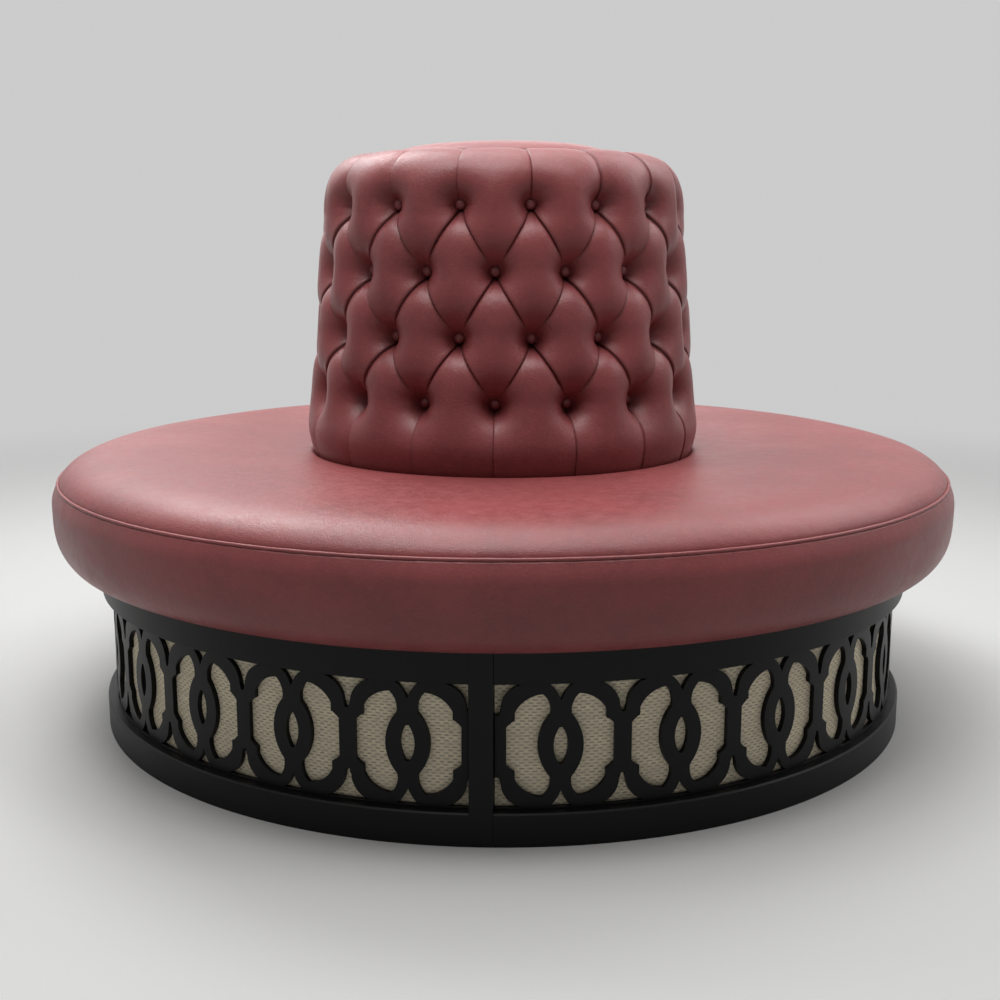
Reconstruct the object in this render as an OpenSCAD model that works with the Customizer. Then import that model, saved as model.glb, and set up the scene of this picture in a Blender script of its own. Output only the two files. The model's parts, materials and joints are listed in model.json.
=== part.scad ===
// Round bench with fretwork base, ring seat and deep buttoned centre back.
// Millimetres. Z is up, the floor is z = 0, the axis of the bench is the Z axis.
// The first post faces -Y. Angles run counterclockwise seen from above.

/* [Base] */
// Outer radius of the plinth and the post faces
base_r = 727; // [700:1:760]
// Radial depth of plinth, posts and the ring of the base
ring_t = 37; // [34:1:45]
// Height of the plinth above the floor
plinth_h = 50; // [40:1:60]
// Bevel along the top outer edge of the plinth between the posts
plinth_bevel = 2.5; // [1:0.5:5]
// Height of the base from the floor to the top of its rails
base_h = 289; // [270:1:300]
// Width of a post
post_w = 34.5; // [28:0.5:40]
// Height of the top rail, which lies flush with the post faces
rail_h = 49; // [40:1:60]
// Open joint between a post and the rail to its right
rail_gap = 0.8; // [0.2:0.1:1.5]
// Length and breadth of the stub tenon under a post
tenon_w = 20; // [12:1:24]
// Depth of the stub tenon
tenon_h = 25; // [10:1:35]

/* [Fretwork] */
// Setback of the fretwork face from the post faces
fret_setback = 16; // [10:0.5:18]
// Thickness of the fretwork
fret_t = 8; // [5:0.5:9]
// Gap between the fretwork and a post
fret_gap = 1.3; // [0.5:0.1:3]
// Strip of the fretwork under the rings
foot_strip = 3; // [1:0.5:6]
// Strip of the fretwork over the rings
head_strip = 6; // [4:0.5:10]
// Width of the bar where two ring pairs join
joint_bar = 26; // [18:1:34]
// Height of the flat-sided part of a ring opening
belly_h = 75; // [60:1:90]
// Width over both ring sides where a pair interlaces
eye_w = 65; // [56:1:72]
// Radius of the ring sides at the interlace
eye_r = 70; // [62:1:80]
// Width of a ring side at the interlace
eye_bar = 22; // [18:0.5:26]
// Height of the lens between the ring sides
lens_h = 54; // [44:1:58]
// Width of a ring at its head
head_bar = 16.9; // [12:0.1:20]
// Radius of a ring at its outer shoulder
shoulder_r = 38.5; // [34:0.5:42]
// How far the ring pairs lie off the middle of a panel
ring_shift = 3.3; // [0:0.1:4]
// Thickness of the woven fabric behind the fretwork
weave_t = 1.2; // [0.6:0.1:2]
// Thickness of the board that carries the fabric
backing_t = 6; // [4:0.5:9]

/* [Carcass] */
// Thickness of base board, ribs, hubs, deck and back discs
board_t = 18; // [15:0.5:25]
// Clear height under the base board
board_lift = 12; // [6:1:25]
// Radius of the hubs that the ribs lap into
hub_r = 200; // [170:1:230]
// Length of the lap between a rib and a hub
lap = 25; // [15:1:35]
// Diameter of the dowels through post and rails
dowel_d = 8; // [6:1:12]
// Depth of a dowel in each rail
dowel_grip = 20; // [12:1:30]
// Diameter of the rib screws
screw_d = 5; // [4:0.5:6]
// Length of the rib screws
screw_len = 60; // [45:1:80]
// Diameter of the bolts that hold the back
bolt_d = 10; // [8:1:12]
// Distance of those bolts from the axis
bolt_place = 110; // [90:1:130]

/* [Seat] */
// Outer radius of the seat at its widest
seat_r = 800; // [780:1:830]
// Height of the seat at the crest of its crown
seat_h = 476; // [460:1:500]
// Rise of the crown above the piped edge
crown_h = 44; // [30:1:55]
// Radius of the crest of the crown
crest_r = 600; // [560:1:640]
// Fall of the seat from its crest to the back
inner_fall = 14; // [5:1:20]
// Height of the rolled under edge of the seat
roll_h = 74; // [60:1:90]
// Radius of the piped edge
seam_r = 786; // [770:1:795]
// Diameter of the piping
piping_d = 6.5; // [4:0.5:9]
// Thickness of the leather
leather_t = 1.5; // [1:0.1:2.5]

/* [Back] */
// Radius of the back where it meets the seat
back_r = 352; // [330:1:370]
// Radius of the back where its shoulder starts
back_top_r = 323.5; // [300:0.5:335]
// Height of the crest of the shoulder
back_h = 986; // [960:1:1020]
// Height of the rounded shoulder
shoulder_h = 106; // [80:1:110]
// Width of the rounded shoulder
shoulder_w = 78.5; // [60:0.5:85]
// Thickness of padding and leather over the bent skin
pad_t = 66; // [64:1:70]
// Thickness of the smooth foam layer on the skin
foam_t = 10; // [6:1:12]
// Thickness of the bent skin
skin_t = 5; // [3:0.5:8]
// Distance of the top row of buttons below the crest
top_row_drop = 90; // [88:1:100]
// Distance between rows of buttons
row_pitch = 106.4; // [98:0.2:112]
// Depth of the buttons under the puffed leather
tuft_depth = 50; // [42:1:50]
// Depth of the pleats halfway between two buttons
pleat_depth = 13; // [8:1:16]
// Diameter of a button
button_d = 18; // [12:0.5:22]
// Section of the upright battens
batten_w = 30; // [20:1:45]

/* [Cap] */
// Outer radius of the cap
cap_r = 194; // [175:1:205]
// Height of the top of the cap above the floor
cap_h = 1008; // [1000:1:1035]
// Height of the edge of the cap dome
cap_edge_h = 984; // [975:1:995]
// Depth of the recess in the back that holds the cap
recess = 26; // [22:1:30]
// Thickness of the board in the cap
cap_board_t = 12; // [9:1:15]
// Length of the cap screws
cap_screw_len = 42; // [36:1:44]

/* [Hidden] */
$fn = 180;

// Colours
lacquer = [0.07, 0.07, 0.07];
leather = [0.47, 0.22, 0.23];
weave = [0.60, 0.55, 0.47];
plywood = [0.76, 0.62, 0.42];
foam = [0.93, 0.88, 0.68];
steel = [0.62, 0.63, 0.65];

// Counts of the design
sectors = 4;
pairs = 6;
ribs = 8;
buttons = 16;
rows = 4;
bolts = 4;

// Clearances
fit = 0.2;
seam_gap = 0.4;
eps = 1;

// Base
sector_a = 360 / sectors;
inner_r = base_r - ring_t;
rail_z = base_h - rail_h;
fret_r = base_r - fret_setback;
fret_in = fret_r - fret_t;
weave_r = fret_in - fit;
backing_r = weave_r - weave_t - fit;
backing_in = backing_r - backing_t;
post_a = asin(post_w / 2 / base_r);
end_a = asin((post_w / 2 + fret_gap) / fret_r);
fret_h = rail_z - plinth_h;

// One ring pair of the fretwork, measured from its centre
unit_a = (sector_a - 2 * end_a) / pairs;
half_w = fret_r * unit_a * PI / 360;
pattern_z = (plinth_h + foot_strip + rail_z - head_strip) / 2;
half_h = (rail_z - head_strip - plinth_h - foot_strip) / 2;
side_x = half_w - joint_bar / 2;
eye_x = eye_r - eye_w / 2;
notch = 12;
notch_x = side_x - notch;
belly_flat = 28;
belly_reach = 35;
lobe_r = 47;
lobe_in = 54.2;
lobe_x = side_x - lobe_in;
lobe_drop = 14.3;
neck_r = 48.5;
neck_x = 46.4;
neck_drop = 38.5;
shoulder_bite = 1;
vee_gap = 5;
vee_tip = 2.6;
vee_drop = 7.5;
vee_bite = 0.6;
fret_sag = 8;

// Carcass
deck_z = base_h + leather_t;
deck_top = deck_z + board_t;
deck_setback = 5;
deck_r = base_r - deck_setback;
floor_z = board_lift + board_t;
rib_out = inner_r - fit;
rib_in = hub_r - 2 * lap;
screw_places = [hub_r + lap, rib_out - 2 * lap];
dowel_rows = [rail_z + rail_h / 3, rail_z + rail_h * 3 / 4];
dowel_y = inner_r + ring_t / 2;
washer_d = 3 * bolt_d;
washer_t = 2.5;
nut_w = 1.7 * bolt_d;
nut_t = 0.8 * bolt_d;
bolt_end = 3;
bolt_top = deck_top + board_t + washer_t;
bolt_len = 3 * board_t + 2 * washer_t + nut_t + bolt_end;
hub_under = deck_z - board_t;

// Seat
seam_z = seat_h - crown_h;
widest_z = base_h + roll_h;
hem_out = 1;
hem_turn = 27;
hem_r = base_r + hem_out;
hem_in = base_r - hem_turn;
seat_line = seat_h - inner_fall;
seat_in = back_r + leather_t;
seam_half = piping_d / 2 + 2 * fit;
piping_r = seam_r + piping_d / 4;
curve_steps = 14;
side_steps = 4;
crown_power = 1.6;
edge_power = 2.7;
roll_power = 0.9;
under_power = 0.6;

// Back
foot_sink = 12;
belly_up = 55;
foot_z = seat_line - foot_sink;
belly_z = foot_z + belly_up;
shoulder_z = back_h - shoulder_h;
lean = (back_r - back_top_r) / (shoulder_z - belly_z);
crest_in = back_top_r - shoulder_w;
top_row_z = back_h - top_row_drop;
low_row_z = top_row_z - (rows - 1) * row_pitch;
layer_top = back_h - recess;
disc_top = layer_top - foam_t;
layer_bevel = 18;
column_a = 360 / buttons;
columns = 4 * buttons;
foot_tuck = 5;
tuck_h = 24;
foot_steps = [0, 0.2, 0.45, 0.73];
foot_pleats = [0.2, 0.35, 0.55, 0.9];
shoulder_steps = [31, 50, 70, 90];
shoulder_pleats = [1.2, 0.75, 0.5, 0.35];
button_side = 3;
cap_pleat = 3;
cover_lip = 1.5;
button_rim = 1.2;
button_dome = 4.5;
button_steps = 5;
button_gap = 0.5;
cap_dip = 2;

// Cap
cap_seat = layer_top + fit;
cap_board_top = cap_seat + cap_board_t;
cap_screw_r = cap_r * 2 / 3;
cap_skirt_z = cap_seat + 2 * leather_t;
cap_power = 3;

// Straight cone of the bent skin: outer radius at a height
function skin_at(z) = back_r - pad_t - lean * (z - belly_z);

// Points moved inward by d, square to the line through their neighbours
function inset(p, d) = [
    for (i = [0 : len(p) - 1])
        let (a = p[max(i - 1, 0)], b = p[min(i + 1, len(p) - 1)], t = b - a, l = norm(t))
            [max(0, p[i][0] + d * t[1] / l), p[i][1] - d * t[0] / l]
];
function reversed(p) = [for (i = [len(p) - 1 : -1 : 0]) p[i]];

// Place children at an angle, as seen on the -Y side
module at_angle(a) rotate([0, 0, a]) children();

// Ring of rectangular section between two angles
module arc_wall(r1, r2, z1, z2, a1, a2) {
    at_angle(a1 - 90)
        rotate_extrude(angle = a2 - a1)
            translate([r1, z1]) square([r2 - r1, z2 - z1]);
}

// Upright prism through the wall of the fretwork, drawn in x and height
module through_fret() {
    translate([0, fret_sag - fret_in, pattern_z])
        rotate([90, 0, 0]) linear_extrude(fret_t + 2 * fret_sag) children();
}

// Space that a post fills, grown by a clearance
module post_space(grow) {
    translate([-post_w / 2 - grow, -base_r - eps, plinth_h - eps])
        cube([post_w + 2 * grow, ring_t + 2 * eps, base_h - plinth_h + 2 * eps]);
}

// Base

module base_board() {
    color(plywood)
        difference() {
            translate([0, 0, board_lift]) cylinder(r = inner_r - fit, h = board_t);
            for (i = [0 : ribs - 1], r = screw_places)
                at_angle(i * 360 / ribs)
                    translate([0, -r, board_lift]) screw_bore(screw_len);
        }
}

module plinth(k) {
    a = k * sector_a + post_a;
    gap = seam_gap / base_r * 180 / PI;
    color(lacquer)
        difference() {
            arc_wall(inner_r, base_r, 0, plinth_h, a, a + sector_a - gap);
            at_angle(a - 90)
                rotate_extrude(angle = sector_a - 2 * post_a)
                    polygon([
                        [base_r - plinth_bevel, plinth_h + eps],
                        [base_r + eps, plinth_h + eps],
                        [base_r + eps, plinth_h - plinth_bevel],
                        [base_r, plinth_h - plinth_bevel],
                        [base_r - plinth_bevel, plinth_h]
                    ]);
            at_angle((k + 1) * sector_a) tenon(fit);
        }
}

module tenon(grow) {
    translate([-tenon_w / 2 - grow, -inner_r - ring_t / 2 - tenon_w / 2 - grow, plinth_h - tenon_h - grow])
        cube([tenon_w + 2 * grow, tenon_w + 2 * grow, tenon_h + 2 * grow]);
}

module post(k) {
    color(lacquer)
        at_angle(k * sector_a)
            difference() {
                union() {
                    intersection() {
                        translate([-post_w / 2, -base_r - eps, plinth_h])
                            cube([post_w, ring_t + eps, base_h - plinth_h]);
                        cylinder(r = base_r, h = base_h + eps);
                    }
                    tenon(0);
                }
                for (z = dowel_rows) dowel_bore(z);
            }
}

module dowel_bore(z) {
    translate([-post_w / 2 - dowel_grip - fit, -dowel_y, z])
        rotate([0, 90, 0]) cylinder(d = dowel_d + 2 * fit, h = post_w + 2 * dowel_grip + 2 * fit);
}

module top_rail(k) {
    a = k * sector_a;
    color(lacquer)
        difference() {
            arc_wall(inner_r, base_r, rail_z, base_h, a, a + sector_a);
            at_angle(a) post_space(rail_gap);
            at_angle(a + sector_a) post_space(fit);
            for (e = [a, a + sector_a], z = dowel_rows) at_angle(e) dowel_bore(z);
        }
}

module rail_dowels() {
    color(plywood)
        for (k = [0 : sectors - 1], z = dowel_rows)
            at_angle(k * sector_a)
                translate([-post_w / 2 - dowel_grip, -dowel_y, z])
                    rotate([0, 90, 0]) cylinder(d = dowel_d, h = post_w + 2 * dowel_grip);
}

// Fretwork

// Opening of the right hand ring, left of it the disc of the other ring side
module ring_opening() {
    head = half_h - neck_drop;
    difference() {
        union() {
            intersection() {
                translate([0, -belly_h / 2]) square([side_x, belly_h]);
                translate([side_x - belly_reach, 0]) circle(r = norm([belly_reach, belly_flat]));
            }
            for (s = [-1, 1])
                scale_y(s)
                    intersection() {
                        translate([lobe_x, half_h - lobe_drop - lobe_r]) circle(r = lobe_r);
                        union() {
                            translate([neck_x, head]) circle(r = neck_r - head_bar);
                            translate([neck_x, belly_flat]) square([half_w, half_h]);
                        }
                        translate([0, belly_flat]) square([notch_x, half_h]);
                    }
        }
        translate([-eye_x, 0]) circle(r = eye_r);
    }
}

// Mirror in height when s is negative
module scale_y(s) {
    if (s < 0) mirror([0, 1]) children();
    else children();
}

// Mirror in x when s is negative
module scale_x(s) {
    if (s < 0) mirror([1, 0]) children();
    else children();
}

// Lens where the two rings interlace, blunt at its tips
module lens() {
    intersection() {
        translate([-eye_x, 0]) circle(r = eye_r - eye_bar);
        translate([eye_x, 0]) circle(r = eye_r - eye_bar);
        translate([-eye_w, -lens_h / 2]) square([2 * eye_w, lens_h]);
    }
}

// Small opening between the heads of a pair
module neck_opening() {
    difference() {
        translate([-neck_x, half_h - neck_drop]) square([2 * neck_x, neck_drop]);
        for (s = [-1, 1]) translate([s * neck_x, half_h - neck_drop]) circle(r = neck_r);
    }
}

// Opening over the bar that joins two pairs, its foot a blunt vee
module joint_opening() {
    z = half_h - shoulder_r + shoulder_bite;
    x = shoulder_r + vee_gap;
    top = vee_gap - vee_bite;
    difference() {
        translate([-x, z]) square([2 * x, half_h - z]);
        for (s = [-1, 1]) translate([s * x, z]) circle(r = shoulder_r);
    }
    polygon([[-vee_tip, z - vee_drop], [vee_tip, z - vee_drop], [top, z + eps], [-top, z + eps]]);
}

module fretwork(k) {
    a = k * sector_a + end_a;
    first = a + asin(ring_shift / fret_r);
    color(lacquer)
        difference() {
            arc_wall(fret_in, fret_r, plinth_h, rail_z, a, a + sector_a - 2 * end_a);
            for (i = [0 : pairs - 1])
                at_angle(first + (i + 0.5) * unit_a) through_fret() {
                    lens();
                    for (s = [-1, 1]) {
                        scale_x(s) ring_opening();
                        scale_y(s) neck_opening();
                    }
                }
            for (i = [0 : pairs])
                at_angle(first + i * unit_a) through_fret()
                    for (s = [-1, 1]) scale_y(s) joint_opening();
        }
}

module woven_panel(k) {
    a = k * sector_a + end_a;
    color(weave) arc_wall(weave_r - weave_t, weave_r, plinth_h, rail_z, a, a + sector_a - 2 * end_a);
}

module backing_board(k) {
    a = k * sector_a + end_a;
    color(plywood) arc_wall(backing_in, backing_r, plinth_h, rail_z, a, a + sector_a - 2 * end_a);
}

// Carcass

// Screw with a countersunk head, driven along +Z from z = 0
module screw(len) {
    rotate_extrude()
        polygon([
            [0, 0], [screw_d, 0], [screw_d / 2, screw_d / 2],
            [screw_d / 2, len - screw_d], [0, len]
        ]);
}

module screw_bore(len) {
    rotate_extrude()
        polygon([
            [0, -eps], [screw_d + fit, -eps], [screw_d + fit, 0], [screw_d / 2 + fit, screw_d / 2],
            [screw_d / 2 + fit, len - screw_d], [0, len + fit]
        ]);
}

module rib(i) {
    color(plywood)
        at_angle(i * 360 / ribs)
            difference() {
                translate([board_t / 2, 0, 0]) rotate([90, 0, -90]) linear_extrude(board_t)
                    polygon([
                        [rib_in, floor_z + board_t], [hub_r - lap, floor_z + board_t],
                        [hub_r - lap, floor_z], [rib_out, floor_z], [rib_out, deck_z],
                        [hub_r - lap, deck_z], [hub_r - lap, deck_z - board_t], [rib_in, deck_z - board_t]
                    ]);
                for (r = screw_places) {
                    translate([0, -r, board_lift]) screw_bore(screw_len);
                    translate([0, -r, deck_top]) mirror([0, 0, 1]) screw_bore(screw_len);
                }
            }
}

module hub(z, bored) {
    color(plywood)
        difference() {
            translate([0, 0, z]) cylinder(r = hub_r, h = board_t);
            for (i = [0 : ribs - 1])
                at_angle(i * 360 / ribs)
                    translate([-board_t / 2 - fit, -hub_r - eps, z - eps])
                        cube([board_t + 2 * fit, lap + eps + fit, board_t + 2 * eps]);
            if (bored) bolt_bores(z);
        }
}

module bolt_bores(z) {
    for (i = [0 : bolts - 1])
        at_angle((i + 0.5) * 360 / bolts)
            translate([0, -bolt_place, z - eps]) cylinder(d = bolt_d + 2 * fit, h = board_t + 2 * eps);
}

module seat_deck() {
    color(plywood)
        difference() {
            translate([0, 0, deck_z]) cylinder(r = deck_r, h = board_t);
            bolt_bores(deck_z);
            for (i = [0 : ribs - 1], r = screw_places)
                at_angle(i * 360 / ribs)
                    translate([0, -r, deck_top]) mirror([0, 0, 1]) screw_bore(screw_len);
        }
}

module rib_screws() {
    color(steel)
        for (i = [0 : ribs - 1], r = screw_places)
            at_angle(i * 360 / ribs) {
                translate([0, -r, board_lift]) screw(screw_len);
                translate([0, -r, deck_top]) mirror([0, 0, 1]) screw(screw_len);
            }
}

// Seat

// Crown from the back outward to the seam, as [radius, height]
function crown_line() = concat(
    [
        for (i = [0 : curve_steps - 1])
            let (u = 1 - i / curve_steps)
                [crest_r - u * (crest_r - seat_in), seat_h - inner_fall * pow(u, crown_power)]
    ],
    [
        for (i = [0 : curve_steps - 1])
            let (u = sin(i * 90 / curve_steps), drop = seam_z + seam_half)
                [crest_r + u * (seam_r - crest_r), drop + (seat_h - drop) * sqrt(1 - pow(u, edge_power))]
    ],
    [[seam_r, seam_z + seam_half]]
);

// Side from the seam down, round the widest place and under to the hem
function side_line() = concat(
    [
        for (i = [0 : side_steps])
            let (u = i / side_steps, z = seam_z - seam_half)
                [seam_r + (seat_r - seam_r) * sin(90 * u), z - (z - widest_z) * u]
    ],
    [
        for (i = [1 : curve_steps])
            let (t = i * 90 / curve_steps)
                [
                    hem_r + (seat_r - hem_r) * pow(cos(t), roll_power),
                    widest_z - roll_h * pow(sin(t), under_power)
                ]
    ],
    [[hem_in, base_h]]
);

module seat_top_cover() {
    line = crown_line();
    color(leather) rotate_extrude() polygon(concat(line, reversed(inset(line, leather_t))));
}

module seat_side_cover() {
    line = side_line();
    color(leather) rotate_extrude() polygon(concat(line, reversed(inset(line, leather_t))));
}

module seat_foam() {
    depth = leather_t + fit;
    bore_r = skin_at(deck_top) + foam_t + 2 * fit;
    side = inset(side_line(), depth);
    color(foam)
        rotate_extrude()
            polygon(concat(
                [[bore_r, deck_top], [bore_r, foot_z - fit], [seat_in, foot_z - fit]],
                inset(crown_line(), depth),
                [for (i = [0 : len(side) - 2]) side[i]],
                [[deck_r + fit, deck_z + fit], [deck_r + fit, deck_top]]
            ));
}

module seat_piping() {
    color(leather) rotate_extrude() translate([piping_r, seam_z]) circle(d = piping_d, $fn = 36);
}

// Back

// Half section of the foam layer, grown by a clearance, down to a height
function layer_line(z, grow) = [
    [skin_at(z) + foam_t + grow, z],
    [skin_at(layer_top - layer_bevel) + foam_t + grow, layer_top - layer_bevel],
    [skin_at(layer_top) + foam_t + grow - layer_bevel, layer_top + grow],
    [0, layer_top + grow]
];

// Conical disc that fits inside the skin
module skin_disc(z) {
    translate([0, 0, z])
        cylinder(
            r1 = skin_at(z) - skin_t - fit,
            r2 = skin_at(z + board_t) - skin_t - fit,
            h = board_t
        );
}

module back_bottom_disc() {
    color(plywood)
        difference() {
            skin_disc(deck_top);
            bolt_bores(deck_top);
        }
}

module back_top_disc() {
    color(plywood)
        difference() {
            skin_disc(disc_top - board_t);
            cap_screw_holes();
        }
}

module back_battens() {
    ends = [deck_top + board_t, disc_top - board_t];
    outer = [for (z = ends) sqrt(pow(skin_at(z) - skin_t - fit, 2) - pow(batten_w / 2, 2))];
    color(plywood)
        for (i = [0 : ribs - 1])
            at_angle((i + 0.5) * 360 / ribs)
                translate([batten_w / 2, 0, 0]) rotate([90, 0, -90]) linear_extrude(batten_w)
                    polygon([
                        [outer[0] - batten_w, ends[0]], [outer[0], ends[0]],
                        [outer[1], ends[1]], [outer[1] - batten_w, ends[1]]
                    ]);
}

module back_skin() {
    color(plywood)
        rotate_extrude()
            polygon([
                [skin_at(deck_top), deck_top], [skin_at(disc_top), disc_top],
                [skin_at(disc_top) - skin_t, disc_top], [skin_at(deck_top) - skin_t, deck_top]
            ]);
}

module back_foam() {
    color(foam)
        difference() {
            rotate_extrude()
                polygon(concat(
                    layer_line(deck_top, 0),
                    [
                        [0, disc_top], [skin_at(disc_top) + fit, disc_top],
                        [skin_at(deck_top) + fit, deck_top]
                    ]
                ));
            cap_screw_holes();
        }
}

// Radius of the puffed wall of the back at a height, drawn in at its foot
function wall_at(z) =
    back_r - lean * max(0, z - belly_z) - foot_tuck * pow(max(0, 1 - (z - foot_z) / tuck_h), 2);

// Rings of the tufted cover from its foot to the cap, each as
// [radius, height, slope of its outward normal, [depth at the three kinds of column]].
// Columns: in line with the lowest buttons, between columns, in line with the other buttons.
function cover_rings() = concat(
    [
        for (i = [0 : len(foot_steps) - 1])
            let (z = foot_z + foot_steps[i] * (low_row_z - foot_z))
                [wall_at(z), z, 0, [foot_pleats[i] * pleat_depth, 0, 0]]
    ],
    [
        for (i = [0 : 2 * (rows - 1)])
            let (z = low_row_z + i * row_pitch / 2)
                [wall_at(z), z, 0, i % 2 == 1 ? [0, pleat_depth, 0]
                    : i % 4 == 0 ? [tuft_depth, button_side, 0] : [0, button_side, tuft_depth]]
    ],
    [
        for (i = [0 : len(shoulder_steps) - 1])
            let (t = shoulder_steps[i])
                [crest_in + shoulder_w * cos(t), shoulder_z + shoulder_h * sin(t), t,
                    [0, 0, shoulder_pleats[i] * pleat_depth]]
    ],
    [
        [(crest_in + cap_r) / 2, back_h - cap_dip / 4, 90, [0, 0, cap_pleat]],
        [cap_r + cover_lip, back_h - cap_dip, 90, [0, 0, cap_pleat]]
    ]
);

function cover_points(rings) = [
    for (g = rings, c = [0 : columns - 1])
        let (
            kind = c % 4,
            d = g[3][kind % 2 == 1 ? 1 : kind],
            r = g[0] - d * cos(g[2]),
            a = c * 360 / columns
        )
            [r * sin(a), -r * cos(a), g[1] - d * sin(g[2])]
];

// Triangles between rings, with the diagonals along the pleats, and a fan at each end
function cover_faces(n) = concat(
    [
        for (j = [0 : n - 2], c = [0 : columns - 1], half = [0, 1])
            let (
                d = (c + 1) % columns,
                p = [j * columns + c, j * columns + d, (j + 1) * columns + d, (j + 1) * columns + c],
                rising = (c + j + len(foot_steps)) % 2 == 0
            )
                rising
                    ? (half == 0 ? [p[0], p[3], p[2]] : [p[0], p[2], p[1]])
                    : (half == 0 ? [p[0], p[3], p[1]] : [p[3], p[2], p[1]])
    ],
    [for (c = [0 : columns - 1]) [n * columns, c, (c + 1) % columns]],
    [
        for (c = [0 : columns - 1])
            [n * columns + 1, (n - 1) * columns + (c + 1) % columns, (n - 1) * columns + c]
    ]
);

module back_cover() {
    rings = cover_rings();
    n = len(rings);
    color(leather)
        difference() {
            polyhedron(
                points = concat(cover_points(rings), [[0, 0, foot_z], [0, 0, back_h - cap_dip]]),
                faces = cover_faces(n)
            );
            rotate_extrude()
                polygon(concat(layer_line(foot_z - eps, fit), [[0, foot_z - eps]]));
            translate([0, 0, disc_top]) cylinder(r = cap_r + 2 * fit, h = shoulder_h);
        }
}

// Slope of the leather beside a button whose deepest point is at height z
function dimple_slope(z) =
    let (a = 360 / columns, side = wall_at(z) - button_side)
        (side * cos(a) - wall_at(z) + tuft_depth) / (side * sin(a));

// Button along +Z: its blunt cone follows the dimple, its face is domed
module button(slope) {
    r = button_d / 2;
    rim = r * slope + button_rim;
    rotate_extrude($fn = 36)
        polygon(concat(
            [[0, r * slope / 4], [r / 4, r * slope / 4], [r, r * slope], [r, rim]],
            [
                for (i = [1 : button_steps])
                    let (t = i * 90 / button_steps)
                        [r * cos(t), rim + button_dome * sin(t)]
            ]
        ));
}

module button_row(j) {
    z = low_row_z + j * row_pitch;
    color(leather)
        for (i = [0 : buttons - 1])
            at_angle((i + (j % 2) / 2) * column_a)
                translate([0, -(wall_at(z) - tuft_depth + button_gap), z])
                    rotate([90, 0, 0]) button(dimple_slope(z));
}

// Cap

// Dome from the axis outward and down the side, as [radius, height]
function dome_line() = concat(
    [
        for (i = [0 : curve_steps])
            let (u = sin(i * 90 / curve_steps))
                [cap_r * u, cap_edge_h + (cap_h - cap_edge_h) * sqrt(1 - pow(u, cap_power))]
    ],
    [[cap_r, cap_skirt_z]]
);

module cap_screw_holes() {
    for (i = [0 : bolts - 1])
        at_angle(i * 360 / bolts)
            translate([0, -cap_screw_r, disc_top - board_t]) screw_bore(cap_screw_len);
}

module cap_board() {
    color(plywood)
        difference() {
            translate([0, 0, cap_seat])
                cylinder(r = cap_r - leather_t - fit, h = cap_board_top - cap_seat);
            cap_screw_holes();
        }
}

module cap_pad() {
    depth = leather_t + fit;
    line = inset(dome_line(), depth);
    color(foam)
        rotate_extrude()
            polygon(concat(
                [for (i = [0 : len(line) - 2]) line[i]],
                [[cap_r - depth, cap_board_top], [0, cap_board_top]]
            ));
}

module cap_cover() {
    line = dome_line();
    color(leather) rotate_extrude() polygon(concat(line, reversed(inset(line, leather_t))));
}

module cap_screws() {
    color(steel)
        for (i = [0 : bolts - 1])
            at_angle(i * 360 / bolts)
                translate([0, -cap_screw_r, disc_top - board_t]) screw(cap_screw_len);
}

// Bolts of the back

module hexagon(w, h) {
    cylinder(d = w / cos(30), h = h, $fn = 6);
}

module at_bolts() {
    for (i = [0 : bolts - 1]) at_angle((i + 0.5) * 360 / bolts) translate([0, -bolt_place, 0]) children();
}

module back_bolts() {
    color(steel)
        at_bolts() {
            translate([0, 0, bolt_top - bolt_len]) cylinder(d = bolt_d, h = bolt_len);
            translate([0, 0, bolt_top]) hexagon(nut_w, nut_t);
        }
}

module back_washers() {
    color(steel)
        at_bolts()
            for (z = [bolt_top - washer_t, hub_under - washer_t])
                translate([0, 0, z])
                    difference() {
                        cylinder(d = washer_d, h = washer_t);
                        translate([0, 0, -eps]) cylinder(d = bolt_d + 2 * fit, h = washer_t + 2 * eps);
                    }
}

module back_nuts() {
    color(steel)
        at_bolts()
            translate([0, 0, hub_under - washer_t - nut_t])
                difference() {
                    hexagon(nut_w, nut_t);
                    translate([0, 0, -eps]) cylinder(d = bolt_d + 2 * fit, h = nut_t + 2 * eps);
                }
}

base_board();
plinth(0);  // plinth_1
plinth(1);  // plinth_2
plinth(2);  // plinth_3
plinth(3);  // plinth_4
post(0);  // post_1
post(1);  // post_2
post(2);  // post_3
post(3);  // post_4
top_rail(0);  // top_rail_1
top_rail(1);  // top_rail_2
top_rail(2);  // top_rail_3
top_rail(3);  // top_rail_4
fretwork(0);  // fretwork_1
fretwork(1);  // fretwork_2
fretwork(2);  // fretwork_3
fretwork(3);  // fretwork_4
woven_panel(0);  // woven_panel_1
woven_panel(1);  // woven_panel_2
woven_panel(2);  // woven_panel_3
woven_panel(3);  // woven_panel_4
backing_board(0);  // backing_board_1
backing_board(1);  // backing_board_2
backing_board(2);  // backing_board_3
backing_board(3);  // backing_board_4
rail_dowels();
rib(0);  // rib_1
rib(1);  // rib_2
rib(2);  // rib_3
rib(3);  // rib_4
rib(4);  // rib_5
rib(5);  // rib_6
rib(6);  // rib_7
rib(7);  // rib_8
hub(floor_z, false);  // lower_hub
hub(deck_z - board_t, true);  // upper_hub
seat_deck();
rib_screws();
seat_foam();
seat_top_cover();
seat_side_cover();
seat_piping();
back_bottom_disc();
back_top_disc();
back_battens();
back_skin();
back_foam();
back_cover();
button_row(0);  // button_row_1
button_row(1);  // button_row_2
button_row(2);  // button_row_3
button_row(3);  // button_row_4
cap_board();
cap_pad();
cap_cover();
cap_screws();
back_bolts();
back_washers();
back_nuts();
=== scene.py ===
"""Dresses the round bench: tufted leather back, ring seat, black fretwork over woven fabric."""

import json
from math import cos, pi, radians, sin, tau

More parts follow.
